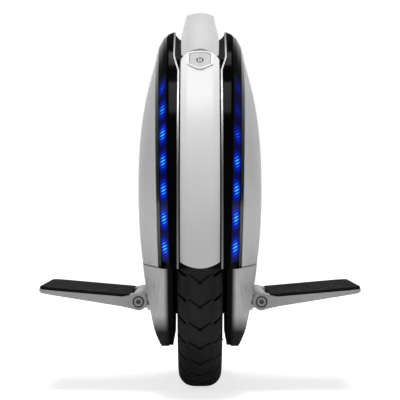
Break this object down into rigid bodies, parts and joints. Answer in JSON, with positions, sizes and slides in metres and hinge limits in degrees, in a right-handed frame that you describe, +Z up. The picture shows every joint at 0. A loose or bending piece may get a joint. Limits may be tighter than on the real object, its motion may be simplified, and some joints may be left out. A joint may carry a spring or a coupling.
{
  "type": "electric unicycle",
  "caption": "Self-balancing electric unicycle: one wheel with a hub motor inside a round shell, a top carry handle, side light strips and fold-up pedals.",
  "frame": {"origin": "where the tyre touches the ground, under the middle of the wheel", "axes": "+Z up, -Y to the front with the power button, +X to the right seen from the front"},
  "size_m": [0.395, 0.4518, 0.475],
  "materials": {
    "black_gloss": "glossy black",
    "black_part": "moulded black",
    "black_plastic": "matt black",
    "button_face": "satin light grey",
    "cable_sleeve": "black sleeve",
    "cell_wrap": "blue wrap",
    "circuit_board": "green board",
    "copper_wire": "enamelled copper",
    "core_steel": "laminated steel",
    "handle_grey": "satin light grey",
    "hanger_metal": "painted silver grey",
    "hub_metal": "plain alloy",
    "light_chip": "lit blue",
    "light_lens": "smoky blue clear",
    "magnet": "nickel plated",
    "motor_metal": "black coated alloy",
    "pad_rubber": "ribbed black rubber",
    "pedal_metal": "painted silver grey",
    "rim_metal": "black coated alloy",
    "screw_steel": "dark steel",
    "seal_rubber": "brown seal",
    "silver_trim": "bright silver",
    "steel": "turned steel",
    "tube_rubber": "matt black butyl",
    "tyre_rubber": "matt black rubber",
    "white_shell": "satin white"
  },
  "bodies": {
    "shell": {"axle": "steel", "axle_nuts": "steel", "battery_board": "circuit_board", "battery_cells": "cell_wrap", "battery_lead": "cable_sleeve", "battery_tray": "black_part", "bearing_inner_races": "steel", "button_bezel": "silver_trim", "capacitors": "black_part", "charge_socket": "black_part", "controller_board": "circuit_board", "front_spine_cover": "white_shell", "handle": "handle_grey", "hanger_screws": "screw_steel", "heat_sink": "hub_metal", "hinge_pins": "steel", "left_hanger": "hanger_metal", "left_inner_wall": "black_plastic", "left_light_lenses": "light_lens", "left_ring_shell": "black_gloss", "left_side_cover": "white_shell", "left_trims": "silver_trim", "light_boards": "circuit_board", "light_chips": "light_chip", "main_frame": "black_plastic", "motor_cable": "cable_sleeve", "rear_spine_cover": "white_shell", "right_hanger": "hanger_metal", "right_inner_wall": "black_plastic", "right_light_lenses": "light_lens", "right_ring_shell": "black_gloss", "right_side_cover": "white_shell", "right_trims": "silver_trim", "sensor_board": "circuit_board", "side_cover_screws": "screw_steel", "stator_core": "core_steel", "stator_hub": "hub_metal", "stator_windings": "copper_wire", "switch_board": "circuit_board", "transistors": "black_part", "wheel_arch_liner": "black_plastic"},
    "wheel": {"tyre": "tyre_rubber", "inner_tube": "tube_rubber", "rim": "rim_metal", "rotor_ring": "core_steel", "rotor_magnets": "magnet", "left_motor_cover": "motor_metal", "right_motor_cover": "motor_metal", "motor_cover_screws": "screw_steel", "valve_stem": "steel", "valve_cap": "black_part", "bearing_outer_races": "steel", "bearing_seals": "seal_rubber"},
    "ball_sets": {"bearing_balls": "steel"},
    "left_pedal_body": {"left_pedal": "pedal_metal", "left_grip_pad": "pad_rubber"},
    "right_pedal_body": {"right_pedal": "pedal_metal", "right_grip_pad": "pad_rubber"},
    "button": {"power_button": "button_face"},
    "socket_cap": {"charge_cap": "tube_rubber"}
  },
  "joints": [
    {"name": "wheel_spin", "type": "hinge", "parent": "shell", "child": "wheel", "pos_m": [0, 0, 0.205], "axis": [1, 0, 0], "continuous": true},
    {"name": "ball_roll", "type": "hinge", "parent": "shell", "child": "ball_sets", "pos_m": [0, 0, 0.205], "axis": [1, 0, 0], "continuous": true},
    {"name": "right_pedal_fold", "type": "hinge", "parent": "shell", "child": "right_pedal_body", "pos_m": [0.075, 0, 0.113], "axis": [0, -1, 0], "range_deg": [0, 75]},
    {"name": "left_pedal_fold", "type": "hinge", "parent": "shell", "child": "left_pedal_body", "pos_m": [-0.075, 0, 0.113], "axis": [0, 1, 0], "range_deg": [0, 75]},
    {"name": "button_press", "type": "slide", "parent": "shell", "child": "button", "axis": [0, 0.6293, -0.7771], "range_m": [0, 0.0012], "stiffness_N_per_m": 2500},
    {"name": "cap_open", "type": "hinge", "parent": "shell", "child": "socket_cap", "pos_m": [0, 0.14823, 0.40237], "axis": [1, 0, 0], "range_deg": [0, 100]}
  ],
  "couplings": [
    {"joint": "ball_roll", "follows": "wheel_spin", "ratio": 0.6164}
  ]
}
